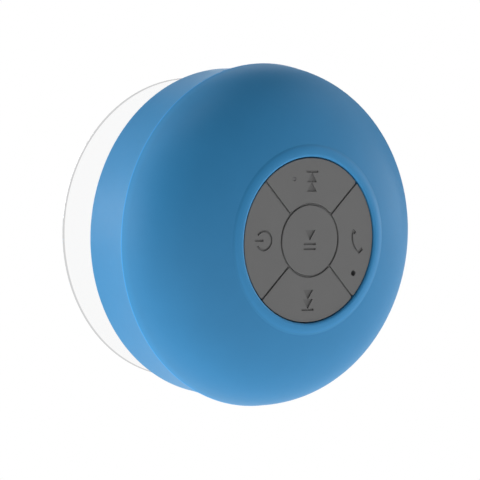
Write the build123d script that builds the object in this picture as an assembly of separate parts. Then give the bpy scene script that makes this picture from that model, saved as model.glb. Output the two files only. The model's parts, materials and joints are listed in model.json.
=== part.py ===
from build123d import *
from math import cos, radians, sin, sqrt
import os

# Suction-cup shower speaker. Millimetres, +Z up, the keys face -Y and the wall is on the +Y side.
# The origin is the centre of the suction cup's contact ring, on the wall plane.
# "Reach" is the distance out from the wall, so a point at reach 50 lies at y = -50.

# Case
parting_radius = 42.5         # the widest circle, where the dome and the rear shell's band meet
band_front_radius = 42.38     # where the band's edge starts to flare out
flare_width = 0.55
band_rear_radius = 41.2
band_rear_reach = 16.15
parting_reach = 31.95
collar_foot_radius = 23.0     # where the dome ends and the collar round the keypad starts
collar_foot_reach = 49.78
wall = 2.2
ledge_radius = 40.85          # step inside the band's front edge that takes the front shell's tongue
ledge_reach = 28.8
plate_reach = 16.9            # rear face of the back plate, sunk inside the rear rim
plate_inside = 18.9
slot_count = 18
slot_middle = 12.7
slot_size = (7.0, 1.5)
hub_radius = 6.4
hub_reach = 20.15
post_circle = 33.5
post_radius = 3.2
post_end = 20.9               # where the front shell's posts meet the back plate's pads

# Keypad
well_radius = 20.1
well_floor = 47.7
floor_rear = 46.9
collar_reach = 50.4
key_top = 50.0
key_shoulder = 48.9           # below this the key is a narrower foot
key_bottom = 48.3
key_radius = 19.8
centre_key_radius = 8.48
sector_inner_radius = 8.96
groove = 0.46
symbol_depth = 0.32
symbol_stroke = 0.52
nub_circle = 14.3             # radius of the circle the four outer nubs stand on
nub_radius = 2.2
nub_end = 45.6
pill_end = 45.25              # rear face of the nub's contact pill, 0.65 off the board
light_at = (-5.4, 14.65)      # x, z of the status light
mic_at = (14.05, -8.2)        # x, z of the microphone hole

# Cup and its fastening
cup_radius = 38.9
neck_radius = 8.3
neck_reach = 16.2
stud_radius = 3.5
stud_bore = 3.55

# Inside
board_radius = 28.4
board_rear = 43.4
board_front = 44.6
board_screw_angles = (30, 150, 270)
board_screw_circle = 25.6
speaker_screw_angles = (60, 180, 300)
speaker_screw_circle = 22.4
battery_size = (30, 5, 40)
battery_rear = 35.6
tray_rear = 34.6
lead_radius = 0.5
flange_radius = 20.0          # the speaker's flange, 40 mm across
flange_rear = 21.4
flange_front = 22.6
coil_radius = 7.35
cone_edge_radius = 15.7
yoke_radius = 9.3
yoke_rear = 28.0
gap_radius = 7.8
magnet_end = 32.6

# Charging port, on the +X side of the band
port_reach = 23.8
recess_floor = 39.55
cover_length = 16.0
cover_width = 8.2
cover_gap = 0.3
hinge_x = 39.85
hinge_z = 7.2
barrel_radius = 0.95
pin_radius = 0.45
pin_length = 9.8
board_leg = (31.0, 4.6)       # x and z of the charging board's legs


def turned(*outline):
    """Solid of revolution about the speaker's axis, from (radius, reach) corners."""
    points = [(r, -reach) for r, reach in outline]
    return revolve(make_face(Polyline(*points, close=True)), Axis.Y)


def swept_round(*edges):
    """Solid of revolution about the speaker's axis, from edges that close a curved outline."""
    return revolve(make_face(Wire(edges)), Axis.Y)


def curve(*controls):
    return Bezier(*[(r, -reach) for r, reach in controls])


def arc(start, middle, end):
    return ThreePointArc(*[(r, -reach) for r, reach in (start, middle, end)])


def path(*points):
    return [Line((a[0], -a[1]), (b[0], -b[1])) for a, b in zip(points, points[1:])]


def rod(x, z, radius, low, high):
    """Round bar parallel to the speaker's axis, between two reaches."""
    return Pos(x, -(low + high) / 2, z) * Rot(90, 0, 0) * Cylinder(radius, high - low)


def block(xs, reaches, zs):
    """Box between pairs of x, reach and z."""
    size = (xs[1] - xs[0], reaches[1] - reaches[0], zs[1] - zs[0])
    return Pos(sum(xs) / 2, -sum(reaches) / 2, sum(zs) / 2) * Box(*size)


def front(reach):
    """Drawing plane seen from the front: X to the right, Z up."""
    return Plane(origin=(0, -reach, 0), x_dir=(1, 0, 0), z_dir=(0, -1, 0))


def raised(sketch, low, high):
    """A flat outline seen from the front, made solid between two reaches."""
    return extrude(front(low) * sketch, high - low)


def around(radius, degrees):
    return radius * cos(radians(degrees)), radius * sin(radians(degrees))


# ---------------------------------------------------------------- suction cup and its fastening

def cup_stud():
    """Flanged stud moulded into the cup's neck; its groove takes the clip inside the case."""
    return turned((0, 10.6), (6.2, 10.6), (6.2, 12.0), (stud_radius, 12.6), (stud_radius, 20.15),
                  (2.7, 20.15), (2.7, 21.0), (stud_radius, 21.0), (stud_radius, 21.4), (2.9, 22.0),
                  (0, 22.0))


def suction_cup():
    """Shallow soft dome with a flat contact ring, a rolled edge and a thick neck."""
    cup = swept_round(
        *path((0, 6.9), (0, neck_reach), (neck_radius - 0.6, neck_reach), (neck_radius, 15.6),
              (neck_radius, 14.0)),
        curve((neck_radius, 14.0), (neck_radius + 0.1, 10.6), (14.5, 9.6), (22.0, 6.4)),
        curve((22.0, 6.4), (28.5, 3.6), (32.5, 1.5), (38.1, 0.95)),
        arc((38.1, 0.95), (38.75, 0.7), (cup_radius, 0.3)),
        *path((cup_radius, 0.3), (cup_radius - 0.15, 0), (37.1, 0)),
        curve((37.1, 0), (30.0, 0.9), (19.0, 6.9), (0, 6.9)),
    )
    return cup - cup_stud()


def stud_washer():
    return turned((stud_radius + 0.05, neck_reach), (7.4, neck_reach), (7.4, 16.8),
                  (stud_radius + 0.05, 16.8))


def stud_clip():
    """Open retaining ring in the stud's groove, bearing on the hub inside the case."""
    ring = turned((2.75, 20.2), (5.3, 20.2), (5.3, 20.95), (2.75, 20.95))
    return ring - block((-1.6, 1.6), (20, 21.2), (0, 6)) - rod(-3.6, 0, 0.7, 20, 21.2) \
        - rod(3.6, 0, 0.7, 20, 21.2)


# ---------------------------------------------------------------- case

def post_places():
    return [around(post_circle, 45 + 90 * i) for i in range(4)]


def board_screw_places():
    return [around(board_screw_circle, a) for a in board_screw_angles]


def speaker_screw_places():
    return [around(speaker_screw_circle, a) for a in speaker_screw_angles]


def dome(inset):
    """The dome's bulk: its outer curve moved inwards by an inset, closed along the axis."""
    start = (parting_radius - inset, parting_reach)
    side = (parting_radius - inset - 0.19, parting_reach + 0.9)
    end = (collar_foot_radius, collar_foot_reach - inset * 1.03)
    return swept_round(
        arc(start, (parting_radius - inset - 0.09, parting_reach + 0.45), side),
        curve(side, (41.43 - inset, 38.6 - inset * 0.4), (39.1 - inset * 0.7, 46.75 - inset * 0.8), end),
        *path(end, (0, end[1]), (0, parting_reach), start),
    )


def collar():
    """Low ring round the keypad: a hollow foot, a broad crown and a rounded inner edge."""
    foot = (collar_foot_radius + 0.1, collar_foot_reach - 0.03)
    outer_crown, inner_crown = (20.85, collar_reach), (20.7, collar_reach)
    inner_edge = (well_radius, collar_reach - 0.38)
    return swept_round(
        curve(foot, (22.7, 49.95), (22.0, collar_reach), outer_crown),
        *path(outer_crown, inner_crown),
        curve(inner_crown, (20.45, collar_reach), (20.18, collar_reach - 0.1), inner_edge),
        *path(inner_edge, (well_radius, floor_rear), (foot[0], floor_rear), foot),
    )


def front_shell():
    """Dome with the keypad well, the joint's tongue, the screw posts and the board's bosses."""
    shell = dome(0) - dome(wall)
    shell -= rod(0, 0, well_radius, 45, 51)
    shell += collar()
    floor = Circle(well_radius + 1)
    for x, z in nub_places():
        floor -= Pos(x, z) * Circle(2.5)
    floor -= Pos(*light_at) * Circle(0.5)
    floor -= Pos(*mic_at) * Circle(0.8)
    shell += raised(floor, floor_rear, well_floor)
    tongue = (ledge_radius - 1.25, ledge_radius - 0.15)
    shell += turned((tongue[0], ledge_reach + 1), (tongue[1], ledge_reach + 1),
                    (tongue[1], parting_reach + 0.6), (tongue[0], parting_reach + 0.6))
    bulk = dome(0.8)
    for x, z in post_places():
        shell += rod(x, z, post_radius, parting_reach, 48) & bulk
        shell += rod(x, z, post_radius, post_end, parting_reach)
        shell -= rod(x, z, 1.15, post_end, 33)
    for x, z in board_screw_places():
        shell += rod(x, z, 2.0, board_front, 48.3) & bulk
        shell -= rod(x, z, 0.9, board_front, 47)
    return shell


def band_side():
    """The band's outer line, a little hollow, from the rear rim to the flare."""
    front_end = (band_front_radius, parting_reach - flare_width)
    return arc((band_rear_radius + 0.1, 17.0), (41.6, 24.4), front_end)


def rear_shell():
    """Tapered band and back plate in one piece, with slots, hub, speaker seat and port recess."""
    outside = swept_round(
        *path((0, band_rear_reach), (band_rear_radius - 0.9, band_rear_reach)),
        arc((band_rear_radius - 0.9, band_rear_reach), (band_rear_radius - 0.2, 16.4),
            (band_rear_radius + 0.1, 17.0)),
        band_side(),
        *path((band_front_radius, parting_reach - flare_width), (parting_radius, parting_reach),
              (ledge_radius, parting_reach), (ledge_radius, ledge_reach), (39.9, ledge_reach),
              (39.1, 19.7), (38.3, plate_inside), (0, plate_inside), (0, band_rear_reach)),
    )
    shell = outside - turned((0, 16), (37.4, 16), (37.4, plate_reach - 0.3), (37.1, plate_reach),
                             (0, plate_reach))
    shell += rod(0, 0, hub_radius, plate_inside, hub_reach)
    seat_radius, seat_reach = flange_radius + 0.15, flange_rear - 0.5
    shell += turned((18.3, plate_inside), (seat_radius + 1.55, plate_inside),
                    (seat_radius + 1.55, flange_front), (seat_radius, flange_front),
                    (seat_radius, seat_reach), (18.3, seat_reach))
    for x, z in speaker_screw_places():
        shell += rod(x, z, 2.0, plate_inside, flange_front) - rod(0, 0, seat_radius, seat_reach, 23)
        shell -= rod(x, z, 0.95, 19.6, flange_front)
    for x, z in post_places():
        shell += rod(x, z, post_radius + 0.5, plate_inside, post_end)
        shell -= rod(x, z, 1.3, 16, post_end) + rod(x, z, 2.6, 16, plate_inside)
    shell += port_housing()
    shell -= rod(0, 0, stud_bore, 16, 21)
    shell -= sound_slots()
    shell -= port_recess()
    return shell


def sound_slots():
    """Ring of radial slots with round ends in the back plate."""
    slot = Pos(slot_middle, 0) * SlotOverall(*slot_size)
    ring = Sketch() + [Rot(0, 0, 360 / slot_count * (i + 0.5)) * slot for i in range(slot_count)]
    return raised(ring, 16, 19.2)


def shell_seal():
    """Soft ring in the joint, between the front shell's tongue and the band's ledge."""
    inner, outer = ledge_radius - 0.8, ledge_radius - 0.1
    low, high = ledge_reach + 0.05, ledge_reach + 0.95
    return turned((inner, low), (outer, low), (outer, high), (inner, high))


# ---------------------------------------------------------------- charging port

def port_outline(length, width, corner):
    """Rounded rectangle on the +X side: length along Z, width along the speaker's axis."""
    side = Plane(origin=(0, -port_reach, 0), x_dir=(0, 0, 1), z_dir=(1, 0, 0))
    return side * RectangleRounded(length, width, corner)


def hinge_rod(radius, length):
    """Round bar along the cover's hinge axis."""
    return Pos(hinge_x, -port_reach, hinge_z) * Rot(90, 0, 0) * Cylinder(radius, length)


def leg_rods(radius, low, high):
    """Pair of round bars where the charging board is screwed down."""
    x, z = board_leg
    return rod(x, z, radius, low, high) + rod(x, -z, radius, low, high)


def port_housing():
    """Thick pad behind the recess and two legs for the charging board."""
    pad = extrude(Pos(36.4, 0, 0) * port_outline(20.4, 9.8, 1.5), 5)
    pad &= turned((0, 18), (41.0, 18), (41.9, 29), (0, 29))
    return pad + leg_rods(1.5, plate_inside, 21.5) - leg_rods(0.75, 19.4, 21.5)


def port_recess():
    """Everything cut for the port: the cover's seat, the hinge pin's holes and the plug's way in."""
    width = cover_width + 2 * cover_gap
    seat = extrude(Pos(recess_floor, 0, 0.2) * port_outline(cover_length + 1.0, width, 0.9), 4)
    way_in = extrude(Pos(36, 0, 0) * port_outline(8.4, 3.6, 1.2), 6)
    return seat + way_in + hinge_rod(barrel_radius + cover_gap, width) + hinge_rod(pin_radius, pin_length)


def port_cover():
    """Soft cover, flush with the band, with a hinge barrel at its top and a plug behind."""
    front_corner = (band_front_radius, parting_reach - flare_width)
    band = swept_round(band_side(), *path(front_corner, (0, front_corner[1]), (0, 17.0),
                                          (band_rear_radius + 0.1, 17.0)))
    plate = extrude(Pos(recess_floor + 0.2, 0, 0) * port_outline(cover_length, cover_width, 1.0), 4) & band
    plate -= block((35, 45), (15, 32), (hinge_z, 12))
    plate -= block((hinge_x + barrel_radius, 45), (15, 32), (hinge_z - 2.4, 12))
    plug = extrude(Pos(recess_floor - 1.2, 0, 0) * port_outline(5.2, 1.0, 0.4), 1.6)
    notch = Pos(band_front_radius, -port_reach, -cover_length / 2 - 0.4) * Sphere(1.9)
    return plate + hinge_rod(barrel_radius, cover_width) + plug - hinge_rod(0.5, cover_width + 1) - notch


def hinge_pin():
    return hinge_rod(pin_radius, pin_length)


def charging_board():
    return block((28.6, 36.3), (21.5, 22.5), (-7, 7)) - leg_rods(0.9, 21, 23)


def charging_socket():
    """Folded steel shell with a contact tongue inside."""
    shell = block((33.7, 39.3), (22.5, 25.1), (-3.75, 3.75))
    shell = fillet(shell.edges().filter_by(Axis.X), 0.5)
    hollow = block((34.7, 39.5), (22.85, 24.75), (-3.4, 3.4))
    hollow = fillet(hollow.edges().filter_by(Axis.X), 0.3)
    return shell - hollow + block((34.6, 37.9), (23.0, 23.45), (-2.4, 2.4))


# ---------------------------------------------------------------- keypad

def nub_places():
    return [(0, 0)] + [around(nub_circle, 90 * i) for i in range(4)]


def bar(x, z, length, upright=False):
    size = (symbol_stroke, length) if upright else (length, symbol_stroke)
    return Pos(x, z) * Rectangle(*size)


def triangle(base_z, tip_z, width):
    return make_face(Polyline((-width / 2, base_z), (width / 2, base_z), (0, tip_z), close=True))


def skip_symbol(way):
    """Two stacked triangles and a bar, pointing up (way = 1) or down (way = -1)."""
    near, far, tip = (12.0, 14.25, 16.65) if way < 0 else (11.7, 13.95, 16.35)
    return (triangle(near * way, (far + 0.1) * way, 3.1) + triangle(far * way, tip * way, 3.1)
            + bar(0, (tip + 0.15) * way, 3.7))


def play_pause_symbol():
    return triangle(2.42, -0.1, 3.1) + bar(0, -0.9, 3.7) + bar(0, -2.1, 3.7)


def power_symbol():
    ring = CenterArc((-14.0, 0), 2.25, -146, 292)
    return trace(ring, symbol_stroke) + bar(-15.4, 0, 2.5)


def call_symbol():
    """Telephone handset: a bent handle with a pad at each end."""
    handle = trace(ThreePointArc((13.3, 1.9), (13.6, -0.85), (15.4, -3.0)), 0.5)
    ear = Pos(13.75, 2.0) * Rot(0, 0, -38) * RectangleRounded(1.25, 0.85, 0.2)
    mouth = Pos(15.95, -2.65) * Rot(0, 0, 38) * RectangleRounded(1.65, 0.85, 0.2)
    return handle + ear + mouth


def sector_outline():
    """The +X sector key's outline: a quarter ring with its corners rounded."""
    apex = groove / 2 * sqrt(2)
    wedge = make_face(Polyline((apex, 0), (apex + 30, 30), (apex + 30, -30), close=True))
    outline = (Circle(key_radius) - Circle(sector_inner_radius)) & wedge
    return fillet(outline.vertices(), 0.35)


def key(outline, symbol):
    """Key cap: a slab with a softened top edge, on a narrower foot, with its symbol sunk in."""
    cap = raised(outline, key_shoulder, key_top)
    rim = cap.edges().filter_by(lambda e: abs(e.center().Y + key_top) < 1e-4)
    cap = fillet(rim, 0.16)
    cap += raised(offset(outline, -0.5), key_bottom, key_shoulder)
    return cap - raised(symbol, key_top - symbol_depth, key_top + 1)


def centre_key():
    return key(Circle(centre_key_radius), play_pause_symbol())


def up_key():
    """Top key, with a clear hole for the light pipe."""
    return key(Rot(0, 0, 90) * sector_outline(), skip_symbol(1)) - rod(*light_at, 0.5, 48, 51)


def down_key():
    return key(Rot(0, 0, 270) * sector_outline(), skip_symbol(-1))


def power_key():
    return key(Rot(0, 0, 180) * sector_outline(), power_symbol())


def call_key():
    """Right key, with the microphone hole."""
    return key(sector_outline(), call_symbol()) - rod(*mic_at, 0.7, 48, 51)


def nub(place):
    """Silicone nub under a key, with the contact pill at its rear end."""
    x, z = place
    return rod(x, z, nub_radius, nub_end, key_bottom) + rod(x, z, 1.6, pill_end, nub_end)


def keypad_frame():
    """Thin web that stands in the grooves between the keys, on a wider foot."""
    fin_inner, fin_outer = centre_key_radius + 0.09, sector_inner_radius - 0.09
    foot, fin = Circle(9.2), Circle(fin_outer)
    for i in range(4):
        turn = Rot(0, 0, 45 + 90 * i)
        foot += turn * Pos(14.1, 0) * Rectangle(10.6, 1.0)
        fin += turn * Pos(14.15, 0) * Rectangle(10.8, 0.28)
    foot -= Circle(8.2)
    fin -= Circle(fin_inner)
    foot_top = key_bottom - 0.1
    return raised(foot, well_floor, foot_top) + raised(fin, foot_top, key_top - 0.35)


def key_mat():
    """Silicone sheet on the board with an opening round each nub and a thick clamped rim."""
    mat = turned((0, board_front + 0.05), (19.4, board_front + 0.05), (19.4, 46.85), (17.9, 46.85),
                 (17.9, 45.5), (0, 45.5))
    for x, z in nub_places():
        mat -= rod(x, z, 3.4, 44, 47)
    return mat - rod(*light_at, 1.3, 44, 47) - rod(*mic_at, 2.6, 44, 47)


def light_pipe():
    x, z = light_at
    return rod(x, z, 0.4, 45.7, key_top - 0.05) + rod(x, z, 0.95, 45.3, 45.9)


# ---------------------------------------------------------------- electronics

def main_board():
    board = rod(0, 0, board_radius, board_rear, board_front)
    for x, z in board_screw_places():
        board -= rod(x, z, 1.1, 43, 45)
    return board


def microphone():
    """Electret capsule with a ring of crimped metal round its face."""
    x, z = mic_at
    return rod(x, z, 2.0, board_front, 46.2) - rod(x, z, 1.4, 46.0, 46.3)


def status_led():
    x, z = light_at
    return block((x - 0.8, x + 0.8), (board_front, 45.2), (z - 0.4, z + 0.4))


def wireless_module():
    """Shielded radio module: a thin board with a can on it."""
    board = block((-26.2, -17.2), (42.6, board_rear), (-9.5, 5.5))
    return board + block((-25.6, -17.8), (41.1, 42.6), (-6.5, 4.9))


def chip(x, z, side, height):
    body = block((x - side / 2, x + side / 2), (board_rear - height, board_rear - 0.1),
                 (z - side / 2, z + side / 2))
    for i in range(4):
        z_leg = z + side * (i - 1.5) / 4
        body += block((x - side / 2 - 0.8, x + side / 2 + 0.8), (board_rear - 0.3, board_rear),
                      (z_leg - 0.2, z_leg + 0.2))
    return body


def amplifier_chip():
    return chip(21.4, 3.2, 4.4, 1.3)


def charge_chip():
    return chip(21.4, -4.4, 3.0, 1.1)


def inductor():
    coil = block((18.9, 23.9), (40.9, board_rear), (-13.6, -8.6))
    return chamfer(coil.edges().filter_by(Axis.Y), 1.0)


def capacitors():
    """Two can capacitors and a row of small chip capacitors."""
    cans = [rod(x, z, 2.4, 38.4, board_rear) for x, z in ((-4.6, 24.2), (-10.6, 22.6))]
    chips = [block((x - 0.5, x + 0.5), (42.9, board_rear), (-23.6, -22.0)) for x in (-12, -10, -8, -6)]
    return Part() + cans + chips


def plug_housing(x, z):
    """Two-way board connector with an open rear side for its crimped wires."""
    body = block((x - 3, x + 3), (39.0, board_rear), (z - 2.2, z + 2.2))
    for side in (-1.25, 1.25):
        body -= rod(x + side, z, 0.65, 38, 41)
    return body


def battery():
    """Pouch cell with soft edges."""
    x, y, z = battery_size
    cell = block((-x / 2, x / 2), (battery_rear, battery_rear + y), (-z / 2, z / 2))
    return fillet(cell.edges(), 1.2)


def battery_tray():
    """Plate under the cell with side walls, and an eye round each screw post."""
    half_width, half_height = 17, 21.5
    tray = block((-half_width, half_width), (tray_rear, battery_rear), (-half_height, half_height))
    for side in (-1, 1):
        xs = sorted((side * (battery_size[0] / 2 + 0.3), side * half_width))
        tray += block(xs, (battery_rear, 38.6), (-half_height, half_height))
    for x, z in post_places():
        side, up = x / abs(x), z / abs(z)
        arm = block((-5.5, 5.5), (tray_rear, battery_rear), (-2.5, 2.5))
        tray += Pos(side * 19.5, 0, up * 21.2) * Rot(0, -45 * side * up, 0) * arm
        tray += rod(x, z, post_radius + 2, tray_rear, battery_rear)
    for x, z in post_places():
        tray -= rod(x, z, post_radius + 0.1, 34, 36)
    return tray - rod(0, 0, 6, 34, 36)


def battery_pad():
    return block((-13, 13), (battery_rear + battery_size[1] + 0.05, board_rear), (-17, 17))


def leads(shift, bend, *route):
    """Pair of wires along a route of (x, reach, z) corners, each moved off it by half of shift."""
    pair = Part()
    for way in (-0.5, 0.5):
        points = [(x + shift[0] * way, -reach, z + shift[1] * way) for x, reach, z in route]
        line = FilletPolyline(*points, radius=bend)
        pair += sweep(Plane(origin=line @ 0, z_dir=line % 0) * Circle(lead_radius), path=line)
    return pair


def battery_leads():
    """From the cell's lower end round to its board connector."""
    return leads((2.5, 0), 1.6, (7, 37.2, -20.0), (7, 37.2, -24.0), (7, 40.9, -24.0))


def speaker_leads():
    """From the speaker's terminals up to the board connector."""
    return leads((2.5, 0), 1.6, (5, 23.4, 19.2), (5, 27.0, 21.0), (5, 33.0, 23.9), (5, 40.9, 23.9))


def charging_leads():
    """From the charging board to the main board's edge."""
    return leads((0, 1.8), 6, (29.8, 22.5, -0.6), (29.8, 27.5, -0.6), (26.4, 37.0, -0.6),
                 (26.4, board_rear, -0.6))


# ---------------------------------------------------------------- speaker

def speaker_frame():
    """Pressed basket with a flange, four windows and a bottom ring round the yoke."""
    yoke_seat = yoke_radius + 0.05
    basket = turned((17.4, flange_rear), (flange_radius, flange_rear), (flange_radius, flange_front),
                    (18.9, flange_front), (13.2, 28.8), (yoke_seat, 28.8), (yoke_seat, yoke_rear),
                    (12.7, yoke_rear), (18.0, 22.2), (17.4, 22.2))
    for i in range(4):
        x, z = around(16.0, 45 + 90 * i)
        basket -= rod(x, z, 3.4, 23.6, 27.6)
    return basket


def yoke():
    """Steel pot that closes the magnet's circuit."""
    return turned((0, magnet_end), (gap_radius, magnet_end), (gap_radius, yoke_rear),
                  (yoke_radius, yoke_rear), (yoke_radius, 33.6), (yoke_radius - 0.5, 34.1), (0, 34.1))


def magnet():
    return rod(0, 0, 6.3, yoke_rear + 1.4, magnet_end)


def pole_plate():
    return rod(0, 0, 6.5, yoke_rear, yoke_rear + 1.4)


def voice_coil():
    inner, outer = coil_radius - 0.55, coil_radius - 0.05
    return turned((inner, 25.4), (outer, 25.4), (outer, 30.6), (inner, 30.6))


def spider():
    """Corrugated centring disc between the coil and the basket."""
    steps, width = 8, 13.5 - coil_radius
    wave = [(coil_radius + width * i / steps, 26.6 + (0.25 if i % 2 else -0.25)) for i in range(steps + 1)]
    return turned(*wave, *[(r, reach + 0.3) for r, reach in reversed(wave)])


def cone():
    return turned((coil_radius, 25.5), (15.0, 22.3), (cone_edge_radius, 22.3), (cone_edge_radius, 22.7),
                  (15.1, 22.7), (coil_radius, 25.95))


def surround():
    """Half-roll of soft rubber between the cone and the basket's flange."""
    return swept_round(
        *path((14.9, 22.0), (14.9, 22.3), (cone_edge_radius, 22.3)),
        arc((cone_edge_radius, 22.3), (16.5, 20.95), (17.5, 21.35)),
        *path((17.5, 21.35), (18.25, 21.35), (18.25, 21.05), (17.6, 21.05)),
        arc((17.6, 21.05), (16.45, 20.6), (15.45, 22.0)),
        *path((15.45, 22.0), (14.9, 22.0)),
    )


def dust_cap():
    """Thin spherical cap over the coil."""
    bend = 19.7
    skin = Pos(0, -24.0 - bend, 0) * (Sphere(bend) - Sphere(bend - 0.3))
    return skin & rod(0, 0, 7.3, 23.9, 25.4)


def speaker_gasket():
    low = flange_rear - 0.5
    return turned((18.35, low), (flange_radius, low), (flange_radius, flange_rear), (18.35, flange_rear))


def slot_cloth():
    """Waterproof cloth glued over the slots inside the case."""
    return turned((7.0, plate_inside), (17.6, plate_inside), (17.6, 19.1), (7.0, 19.1))


# ---------------------------------------------------------------- screws

def screw(place, head_radius, shank_radius, head_end, seat, tip):
    """Pan-head screw with a cross recess; the head ends at head_end, the shank at tip."""
    x, z = place
    way = 1 if tip > seat else -1
    head = rod(x, z, head_radius, *sorted((head_end, seat)))
    top = head.faces().sort_by(Axis.Y)[-1 if way > 0 else 0]
    head = fillet(top.edges(), min(0.45, abs(seat - head_end) * 0.45))
    low, high = sorted((head_end - way * 0.1, head_end + way * 0.7))
    for size in ((head_radius * 1.1, 0.4), (0.4, head_radius * 1.1)):
        head -= block((x - size[0] / 2, x + size[0] / 2), (low, high), (z - size[1] / 2, z + size[1] / 2))
    return head + rod(x, z, shank_radius, *sorted((seat, tip)))


def shell_screws():
    return Part() + [screw(p, 2.2, 1.1, 17.2, plate_inside, 31.0) for p in post_places()]


def board_screws():
    return Part() + [screw(p, 1.8, 0.85, 42.2, board_rear, 46.8) for p in board_screw_places()]


def speaker_screws():
    """Wide washer heads that reach over the speaker's flange."""
    return Part() + [screw(p, 2.8, 0.9, 23.9, flange_front, 19.8) for p in speaker_screw_places()]


def charging_board_screws():
    x, z = board_leg
    return Part() + [screw((x, side * z), 1.4, 0.7, 23.4, 22.5, 19.6) for side in (1, -1)]


parts = {
    "suction_cup": suction_cup,
    "cup_stud": cup_stud,
    "stud_washer": stud_washer,
    "stud_clip": stud_clip,
    "front_shell": front_shell,
    "rear_shell": rear_shell,
    "shell_seal": shell_seal,
    "port_cover": port_cover,
    "cover_hinge_pin": hinge_pin,
    "charging_board": charging_board,
    "charging_socket": charging_socket,
    "key_centre": centre_key,
    "key_up": up_key,
    "key_down": down_key,
    "key_power": power_key,
    "key_call": call_key,
    "keypad_frame": keypad_frame,
    "key_mat": key_mat,
    "light_pipe": light_pipe,
    "main_board": main_board,
    "microphone": microphone,
    "status_led": status_led,
    "wireless_module": wireless_module,
    "amplifier_chip": amplifier_chip,
    "charge_chip": charge_chip,
    "inductor": inductor,
    "capacitors": capacitors,
    "battery_connector": lambda: plug_housing(7, -24.0),
    "speaker_connector": lambda: plug_housing(5, 23.9),
    "battery": battery,
    "battery_tray": battery_tray,
    "battery_pad": battery_pad,
    "battery_leads": battery_leads,
    "speaker_leads": speaker_leads,
    "charging_leads": charging_leads,
    "speaker_frame": speaker_frame,
    "yoke": yoke,
    "magnet": magnet,
    "pole_plate": pole_plate,
    "voice_coil": voice_coil,
    "spider": spider,
    "cone": cone,
    "surround": surround,
    "dust_cap": dust_cap,
    "speaker_gasket": speaker_gasket,
    "slot_cloth": slot_cloth,
    "shell_screws": shell_screws,
    "board_screws": board_screws,
    "speaker_screws": speaker_screws,
    "charging_board_screws": charging_board_screws,
}
for name, place in zip(("centre", "call", "up", "power", "down"), nub_places()):
    parts["nub_" + name] = lambda place=place: nub(place)

os.makedirs("parts", exist_ok=True)
for name, make in parts.items():
    export_step(make(), f"parts/{name}.step")
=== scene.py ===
import json
from math import cos, pi, radians, sin

import bmesh
import bpy
from mathutils import Matrix, Vector


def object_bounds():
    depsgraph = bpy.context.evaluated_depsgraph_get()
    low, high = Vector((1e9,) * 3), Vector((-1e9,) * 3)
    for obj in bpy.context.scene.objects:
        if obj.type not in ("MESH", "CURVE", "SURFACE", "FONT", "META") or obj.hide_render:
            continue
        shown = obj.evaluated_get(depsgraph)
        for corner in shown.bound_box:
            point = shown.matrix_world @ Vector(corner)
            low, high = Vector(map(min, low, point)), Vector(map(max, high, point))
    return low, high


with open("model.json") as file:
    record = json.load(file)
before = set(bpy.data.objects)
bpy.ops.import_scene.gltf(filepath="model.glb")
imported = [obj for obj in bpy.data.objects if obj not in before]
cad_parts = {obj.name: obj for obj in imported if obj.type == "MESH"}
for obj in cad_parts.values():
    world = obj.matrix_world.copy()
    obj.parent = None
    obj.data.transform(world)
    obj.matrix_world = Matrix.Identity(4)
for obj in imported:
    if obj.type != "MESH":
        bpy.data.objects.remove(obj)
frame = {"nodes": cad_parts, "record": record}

CAD_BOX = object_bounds()

# Framing, in metres and degrees. The camera aims beside a point on the speaker's axis.
VIEW_AZIMUTH = -37.133
VIEW_ELEVATION = 3.243
VIEW_ROLL = 1.938
VIEW_DISTANCE = 0.4922
VIEW_LENS = 148.9             # millimetres, as is the sensor's width
SENSOR_WIDTH = 36
CLIP_START = 0.01
AIM_POINT = (0, -0.0316, 0)
AIM_RIGHT = -0.005763
AIM_UP = -0.001163

# Stage, in metres. The backdrop stays within the other views' clipping distance.
STAGE_GLOW = 1.0
WORLD_GLOW = 0.05
FLOOR_HALF = 6.0
BACKDROP_RADIUS = 5.0
LAMP_AIM = (0, -0.03, 0)
LAMP_DISTANCE = 1.2
LAMP_SIZE = 0.6

# Azimuth, elevation and power of each soft lamp
LAMPS = {
    "left": (-110, 0, 4.8),
    "back_left": (-150, 0, 6.0),
    "back_left_high": (-150, 35, 2.0),
    "left_high": (-110, 35, 0.6),
    "back_right": (150, 0, 5.2),
    "back_right_high": (150, 35, 1.3),
    "right": (75, 0, 5.5),
    "right_high": (75, 35, 1.8),
    "far_right_high": (110, 35, 0.8),
    "top_left": (-110, 70, 2.2),
}


# ---------------------------------------------------------------- node helpers

MIX_SOCKETS = (0, 6, 7)       # a Mix node's factor and its two colours


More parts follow.
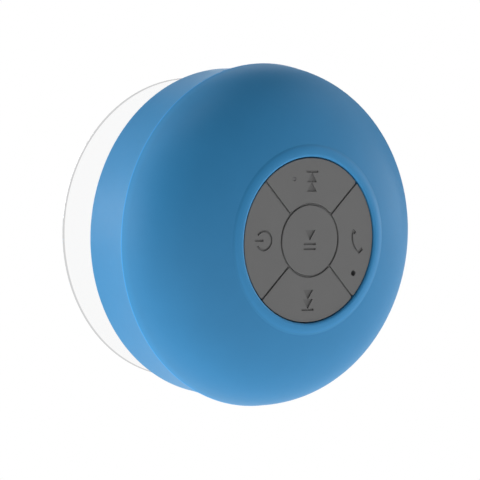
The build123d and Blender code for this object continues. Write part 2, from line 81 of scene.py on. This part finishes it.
class Nodes:
    """A material's node tree, with short calls to add and join nodes."""

    def __init__(self, name):
        self.material = bpy.data.materials.new(name)
        self.material.use_nodes = True
        self.tree = self.material.node_tree
        self.shader = self.tree.nodes["Principled BSDF"]
        self.place = self.add("ShaderNodeTexCoord").outputs["Object"]

    def add(self, kind, **inputs):
        node = self.tree.nodes.new(kind)
        for key, value in inputs.items():
            self.put(node, key.replace("_", " "), value)
        return node

    def put(self, node, key, value):
        socket = node.inputs[key]
        if isinstance(value, bpy.types.NodeSocket):
            self.tree.links.new(value, socket)
        else:
            socket.default_value = value

    def set(self, **inputs):
        for key, value in inputs.items():
            self.put(self.shader, key.replace("_", " "), value)

    def noise(self, size_mm, detail=4.0, roughness=0.55):
        """Fractal noise whose largest grain is about size_mm across."""
        node = self.add("ShaderNodeTexNoise", Vector=self.place, Scale=1000.0 / size_mm, Detail=detail,
                        Roughness=roughness)
        return node.outputs["Fac"]

    def ramp(self, value, low, high):
        """low where the value is 0, high where it is 1."""
        node = self.add("ShaderNodeMapRange", Value=value)
        node.inputs["To Min"].default_value = low
        node.inputs["To Max"].default_value = high
        return node.outputs["Result"]

    def mix(self, factor, first, second):
        node = self.add("ShaderNodeMix")
        node.data_type = "RGBA"
        for socket, value in zip(MIX_SOCKETS, (factor, first, second)):
            self.put(node, socket, value)
        return node.outputs[2]

    def maths(self, operation, *values):
        node = self.add("ShaderNodeMath")
        node.operation = operation
        for socket, value in enumerate(values):
            self.put(node, socket, value)
        return node.outputs["Value"]

    def axes(self):
        """The object's own x, y and z at the shaded point, in millimetres."""
        split = self.add("ShaderNodeSeparateXYZ", Vector=self.place)
        return [self.maths("MULTIPLY", split.outputs[axis], 1000.0) for axis in "XYZ"]

    def radius(self):
        """Distance from the speaker's axis, in millimetres."""
        x, _, z = self.axes()
        squares = self.maths("ADD", self.maths("MULTIPLY", x, x), self.maths("MULTIPLY", z, z))
        return self.maths("SQRT", squares)

    def reach(self):
        """Distance out from the wall, in millimetres."""
        return self.maths("MULTIPLY", self.axes()[1], -1.0)

    def step(self, value, start, end):
        """0 at start and before it, 1 at end and past it, a soft slope between."""
        node = self.add("ShaderNodeMapRange", Value=value)
        node.interpolation_type = "SMOOTHSTEP"
        node.inputs["From Min"].default_value = start
        node.inputs["From Max"].default_value = end
        return node.outputs["Result"]

    def stripes(self, value, pitch_mm):
        """Rounded ridges across a millimetre value, from 0 to 1."""
        wave = self.maths("SINE", self.maths("MULTIPLY", value, 2 * pi / pitch_mm))
        return self.maths("MULTIPLY_ADD", wave, 0.5, 0.5)

    def cells(self, size_mm):
        """Distance from the middle of the nearest of many small cells."""
        node = self.add("ShaderNodeTexVoronoi", Vector=self.place, Scale=1000.0 / size_mm)
        return node.outputs["Distance"]

    def bump(self, height, distance_mm, strength):
        """The surface's normal where it stands proud by height times distance_mm."""
        node = self.add("ShaderNodeBump", Height=height, Distance=distance_mm / 1000, Strength=strength)
        return node.outputs["Normal"]


def rgb(red, green, blue):
    """Linear colour from an 8-bit sRGB one."""
    def linear(value):
        value /= 255
        return value / 12.92 if value <= 0.04045 else ((value + 0.055) / 1.055) ** 2.4
    return (linear(red), linear(green), linear(blue), 1.0)


def scaled(colour, by):
    """A colour made lighter or darker."""
    return (colour[0] * by, colour[1] * by, colour[2] * by, 1.0)


def coating(name, colour, sheen, roughness=0.5):
    """Rubber coating: very fine grain and a soft sheen at grazing angles, and its cloudy colour."""
    m = Nodes(name)
    m.set(Roughness=m.ramp(m.noise(1.2), roughness - 0.05, roughness + 0.05))
    m.set(Normal=m.bump(m.noise(0.16, 2.0, 0.6), 0.006, 0.5))
    m.shader.inputs["Specular IOR Level"].default_value = 0.24
    m.set(Sheen_Weight=0.12, Sheen_Roughness=0.4, Sheen_Tint=sheen)
    return m, m.mix(m.noise(9.0, 3.0), scaled(colour, 0.96), scaled(colour, 1.04))


def soft_touch(name, colour, sheen, roughness):
    """Coated moulding, the same all over."""
    m, cloudy = coating(name, colour, sheen, roughness)
    m.set(Base_Color=cloudy)
    return m.material


def case_touch(name, colour, sheen):
    """The case's coating, with painted highlights: lighter in colour on the collar and along the parting
    edge.
    """
    m, cloudy = coating(name, colour, sheen)
    reach = m.reach()
    off_line = m.maths("ABSOLUTE", m.maths("SUBTRACT", reach, PARTING_REACH))
    on_dome = m.step(reach, PARTING_REACH - DOME_MARGIN, PARTING_REACH)
    near_line = m.maths("MULTIPLY", m.step(off_line, *NEAR_LINE), on_dome)
    collar = m.maths("MULTIPLY", m.step(m.radius(), *COLLAR_EDGE), m.step(reach, *COLLAR_REACH))
    # Painted highlights: the parting line, a wider strip beside it on the dome and the collar are lightened
    # in colour to stand for light catching them
    painted_light = m.maths("MULTIPLY", m.step(off_line, *LINE_EDGE), LINE_HIGHLIGHT)
    painted_light = m.maths("MULTIPLY_ADD", near_line, NEAR_HIGHLIGHT, painted_light)
    painted_light = m.maths("MULTIPLY_ADD", collar, COLLAR_HIGHLIGHT, painted_light)
    m.set(Base_Color=m.mix(painted_light, cloudy, scaled(colour, HIGHLIGHT_GAIN)))
    return m.material


def key_touch(name, colour, sheen):
    """The keys' coating, with painted shade: darker down in the sunken symbols and holes."""
    m, cloudy = coating(name, colour, sheen)
    # Painted shade: the sunken symbols and holes are darkened in colour
    m.set(Base_Color=m.mix(m.step(m.reach(), *SUNKEN), scaled(colour, SUNKEN_SHADE), cloudy))
    return m.material


def moulded(name, colour, roughness, grain_mm=0.3, depth_mm=0.01):
    """Hard moulding: fine eroded grain and slight cloudiness."""
    m = Nodes(name)
    m.set(Base_Color=m.mix(m.noise(3.0), scaled(colour, 0.93), scaled(colour, 1.07)))
    m.set(Roughness=m.ramp(m.noise(1.0), roughness - 0.06, roughness + 0.06))
    m.set(Normal=m.bump(m.noise(grain_mm, 2.0), depth_mm, 0.5))
    return m.material


def metal(name, colour, roughness, pitch_mm=0.12, depth_mm=0.004):
    """Bare metal with fine rings left by turning and plating, and cloudy wear."""
    m = Nodes(name)
    m.set(Base_Color=m.mix(m.noise(2.0), scaled(colour, 0.82), colour), Metallic=1.0)
    m.set(Roughness=m.ramp(m.noise(0.8), roughness - 0.08, roughness + 0.12))
    worn = m.maths("ADD", m.stripes(m.radius(), pitch_mm), m.noise(0.5))
    m.set(Normal=m.bump(worn, depth_mm, 0.5))
    return m.material


def circuit(name, mask, copper):
    """Solder mask over a grid of copper tracks that stand a little proud."""
    m = Nodes(name)
    x, _, z = m.axes()
    lines = m.maths("MAXIMUM", m.step(m.stripes(x, 1.3), 0.8, 0.9), m.step(m.stripes(z, 1.3), 0.8, 0.9))
    tracks = m.maths("MULTIPLY", lines, m.step(m.noise(5.0, 1.0), 0.48, 0.52))
    m.set(Base_Color=m.mix(tracks, mask, copper))
    m.set(Roughness=m.ramp(m.noise(2.0), 0.25, 0.4))
    m.set(Normal=m.bump(m.maths("ADD", tracks, m.maths("MULTIPLY", m.noise(0.4), 0.3)), 0.03, 0.6))
    return m.material


def woven(name, colour, pitch_mm, roughness):
    """Cloth: crossing threads."""
    m = Nodes(name)
    x, _, z = m.axes()
    threads = m.maths("MAXIMUM", m.stripes(x, pitch_mm), m.stripes(z, pitch_mm))
    m.set(Base_Color=m.mix(threads, scaled(colour, 0.4), scaled(colour, 1.2)))
    m.set(Roughness=m.ramp(m.noise(1.0), roughness - 0.08, roughness))
    m.set(Normal=m.bump(threads, 0.05, 0.8))
    return m.material


def wound(name, colour, pitch_mm):
    """Enamelled wire in turns stacked along the speaker's axis."""
    m = Nodes(name)
    turns = m.stripes(m.axes()[1], pitch_mm)
    m.set(Base_Color=m.mix(turns, scaled(colour, 0.4), colour), Metallic=1.0)
    m.set(Roughness=m.ramp(m.noise(0.6), 0.22, 0.36))
    m.set(Normal=m.bump(turns, 0.05, 0.8))
    return m.material


def cellular(name, colour):
    """Open foam: small pits between rounded walls."""
    m = Nodes(name)
    pits = m.cells(0.35)
    m.set(Base_Color=m.mix(pits, scaled(colour, 0.55), scaled(colour, 1.3)))
    m.set(Roughness=m.ramp(m.noise(1.0), 0.85, 0.98))
    m.set(Normal=m.bump(pits, 0.1, 0.8))
    return m.material


def fibrous(name, colour):
    """Pressed paper pulp: short fibres over a soft mottle."""
    m = Nodes(name)
    fibre = m.noise(0.25, 6.0, 0.8)
    m.set(Base_Color=m.mix(m.step(fibre, 0.35, 0.65), scaled(colour, 0.7), scaled(colour, 1.35)))
    m.set(Roughness=m.ramp(m.noise(2.0), 0.75, 0.9))
    m.set(Normal=m.bump(fibre, 0.04, 0.7))
    return m.material


def foil(name, colour):
    """Battery pouch: dull laminated foil with shallow creases."""
    m = Nodes(name)
    creases = m.noise(7.0, 5.0, 0.65)
    m.set(Base_Color=m.mix(m.noise(4.0), scaled(colour, 0.85), colour), Metallic=0.85)
    m.set(Roughness=m.ramp(creases, 0.28, 0.46))
    m.set(Normal=m.bump(creases, 0.25, 0.6))
    return m.material


def speckled(name, colour, roughness, metallic):
    """Pressed and fired powder with a coarse speckle."""
    m = Nodes(name)
    grit = m.cells(0.25)
    m.set(Base_Color=m.mix(grit, scaled(colour, 0.7), scaled(colour, 1.3)), Metallic=metallic)
    m.set(Roughness=m.ramp(m.noise(1.0), roughness - 0.08, roughness + 0.08))
    m.set(Normal=m.bump(grit, 0.02, 0.6))
    return m.material


def clear_soft(name):
    """Clear soft vinyl: see-through, smooth, with faint flow marks, and painted shade on its cut edge,
    which is grey there and not see-through.
    """
    m = Nodes(name)
    # Painted shade: the rim is tinted grey and made opaque where a clear edge looks dark
    edge = m.step(m.radius(), *RIM_EDGE)
    m.set(Base_Color=m.mix(edge, CUP_TINT, RIM_SHADE), IOR=1.2, Transmission_Weight=1.0)
    m.set(Alpha=m.ramp(edge, CUP_ALPHA, 1.0))
    m.set(Roughness=m.ramp(m.noise(8.0), 0.03, 0.07))
    m.set(Normal=m.bump(m.noise(6.0, 2.0), 0.02, 0.3))
    return m.material


BLUE = (0.049, 0.303, 0.627, 1.0)
BLUE_SHEEN = (0.35, 0.65, 0.9, 1.0)
GREY = (0.2068, 0.2068, 0.2068, 1.0)
GREY_SHEEN = (0.3, 0.3, 0.3, 1.0)
CUP_TINT = rgb(240, 240, 240)
CUP_ALPHA = 0.4               # the rest of the light goes straight through, so the stud inside is lit
# painted shade on the cup's rim: grey where the clear edge looks dark
RIM_SHADE = rgb(176, 176, 177)

# Places of the changes of tone, in millimetres. In each pair the change starts at the first number.
RIM_EDGE = (38.55, 38.7)      # radii: the cup's tint turns to the painted shade of its rim
PARTING_REACH = 31.95         # the parting edge's distance from the wall
LINE_EDGE = (0.32, 0.2)       # distances from the parting edge: the painted highlight line comes in
NEAR_LINE = (2.8, 0.0)        # the same for the wider painted highlight strip on the dome's side
DOME_MARGIN = 0.05            # the strip comes in over this much before the parting edge
COLLAR_EDGE = (22.75, 22.35)  # radii: the collar's painted highlight comes in
COLLAR_REACH = (49.5, 49.7)   # distances from the wall: the same
HIGHLIGHT_GAIN = 2.0               # how much lighter the full painted highlight is, and each place's share of that
LINE_HIGHLIGHT, NEAR_HIGHLIGHT, COLLAR_HIGHLIGHT = 0.34, 0.13, 0.1
SUNKEN = (49.72, 49.95)       # distances from the wall: a key's colour turns from the sunken places' painted shade to plain
# painted shade: how much darker the sunken symbols and holes are
SUNKEN_SHADE = 0.88

finishes = {
    "blue_case": lambda: case_touch("blue_case", BLUE, BLUE_SHEEN),
    "blue_rubber": lambda: soft_touch("blue_rubber", BLUE, BLUE_SHEEN, 0.56),
    "grey_keys": lambda: key_touch("grey_keys", GREY, GREY_SHEEN),
    "grey_web": lambda: soft_touch("grey_web", GREY, GREY_SHEEN, 0.65),
    "clear_cup": lambda: clear_soft("clear_cup"),
    "white_plastic": lambda: moulded("white_plastic", rgb(225, 225, 222), 0.4),
    "black_plastic": lambda: moulded("black_plastic", rgb(34, 34, 35), 0.4),
    "silicone": lambda: moulded("silicone", rgb(150, 151, 152), 0.6, 0.8),
    "black_rubber": lambda: moulded("black_rubber", rgb(30, 30, 31), 0.7, 0.5, 0.02),
    "clear_pipe": lambda: moulded("clear_pipe", rgb(118, 118, 120), 0.3, 0.5, 0.004),
    "wire": lambda: moulded("wire", rgb(170, 28, 24), 0.4, 1.5),
    "steel": lambda: metal("steel", rgb(190, 190, 192), 0.3),
    "can_metal": lambda: metal("can_metal", rgb(205, 205, 206), 0.38, 0.3),
    "board_green": lambda: circuit("board_green", rgb(20, 84, 48), rgb(70, 140, 74)),
    "cell_wrap": lambda: foil("cell_wrap", rgb(176, 178, 182)),
    "foam": lambda: cellular("foam", rgb(52, 52, 54)),
    "ferrite": lambda: speckled("ferrite", rgb(70, 70, 72), 0.5, 0.6),
    "copper": lambda: wound("copper", rgb(184, 108, 60), 0.25),
    "paper": lambda: fibrous("paper", rgb(48, 47, 46)),
    "cloth": lambda: woven("cloth", rgb(46, 46, 48), 0.35, 0.95),
}


def dress(node, material):
    node.data.materials.clear()
    node.data.materials.append(material)


def finish_nodes():
    slots = {s["node"]: s["material_slot"] for s in frame["record"]["subparts"]}
    made = {slot: make() for slot, make in finishes.items()}
    for name, node in frame["nodes"].items():
        dress(node, made[slots[name]])


# ---------------------------------------------------------------- stage, light and camera

def view_axes():
    """Right, up and forward of the camera, with its roll."""
    azimuth, elevation, roll = (radians(v) for v in (VIEW_AZIMUTH, VIEW_ELEVATION, VIEW_ROLL))
    forward = -Vector((sin(azimuth) * cos(elevation), -cos(azimuth) * cos(elevation), sin(elevation)))
    right = forward.cross(Vector((0, 0, 1))).normalized()
    up = right.cross(forward)
    rolled_up = up * cos(roll) - right * sin(roll)
    return forward.cross(rolled_up), rolled_up, forward


def add_camera():
    right, up, forward = view_axes()
    data = bpy.data.cameras.new("camera")
    data.lens = VIEW_LENS
    data.sensor_width = SENSOR_WIDTH
    data.clip_start = CLIP_START
    camera = bpy.data.objects.new("camera", data)
    eye = Vector(AIM_POINT) + right * AIM_RIGHT + up * AIM_UP - forward * VIEW_DISTANCE
    camera.matrix_world = Matrix.Translation(eye) @ Matrix((right, up, -forward)).transposed().to_4x4()
    bpy.context.scene.collection.objects.link(camera)
    bpy.context.scene.camera = camera


def stage_material(name):
    """White glow that takes no light or shadow."""
    m = Nodes(name)
    m.set(Base_Color=(0, 0, 0, 1), Roughness=1.0, Emission_Color=(1, 1, 1, 1), Emission_Strength=STAGE_GLOW)
    m.shader.inputs["Specular IOR Level"].default_value = 0.0
    return m.material


def add_floor():
    """Pale lit table under the object."""
    low = CAD_BOX[0][2]
    mesh = bpy.data.meshes.new("floor")
    corners = [(x * FLOOR_HALF, y * FLOOR_HALF, low) for x, y in ((-1, -1), (1, -1), (1, 1), (-1, 1))]
    mesh.from_pydata(corners, [], [(0, 1, 2, 3)])
    mesh.materials.append(stage_material("floor"))
    floor = bpy.data.objects.new("floor", mesh)
    bpy.context.scene.collection.objects.link(floor)


def add_backdrop():
    """White surround. It is only seen, directly or through the clear cup, and lights nothing."""
    shape = bmesh.new()
    bmesh.ops.create_icosphere(shape, subdivisions=3, radius=BACKDROP_RADIUS)
    mesh = bpy.data.meshes.new("backdrop")
    shape.to_mesh(mesh)
    shape.free()
    mesh.materials.append(stage_material("backdrop"))
    backdrop = bpy.data.objects.new("backdrop", mesh)
    backdrop.visible_diffuse = False
    backdrop.visible_glossy = False
    backdrop.visible_shadow = False
    bpy.context.scene.collection.objects.link(backdrop)


def add_lamp(name, azimuth, elevation, power):
    """Soft square light, aimed at the case from a direction given like a camera's."""
    azimuth, elevation = radians(azimuth), radians(elevation)
    where = Vector((sin(azimuth) * cos(elevation), -cos(azimuth) * cos(elevation), sin(elevation)))
    data = bpy.data.lights.new(name, "AREA")
    data.shape = "SQUARE"
    data.size = LAMP_SIZE
    data.energy = power
    lamp = bpy.data.objects.new(name, data)
    lamp.location = Vector(LAMP_AIM) + where * LAMP_DISTANCE
    lamp.rotation_euler = (-where).to_track_quat("-Z", "Y").to_euler()
    lamp.visible_camera = False
    lamp.visible_transmission = False
    bpy.context.scene.collection.objects.link(lamp)


def add_light():
    world = bpy.data.worlds.new("studio")
    world.use_nodes = True
    background = world.node_tree.nodes["Background"]
    background.inputs["Color"].default_value = (1, 1, 1, 1)
    background.inputs["Strength"].default_value = WORLD_GLOW
    bpy.context.scene.world = world
    bpy.context.scene.view_settings.view_transform = "Standard"
    for name, lamp in LAMPS.items():
        add_lamp(name, *lamp)


finish_nodes()
add_floor()
add_backdrop()
add_light()
add_camera()
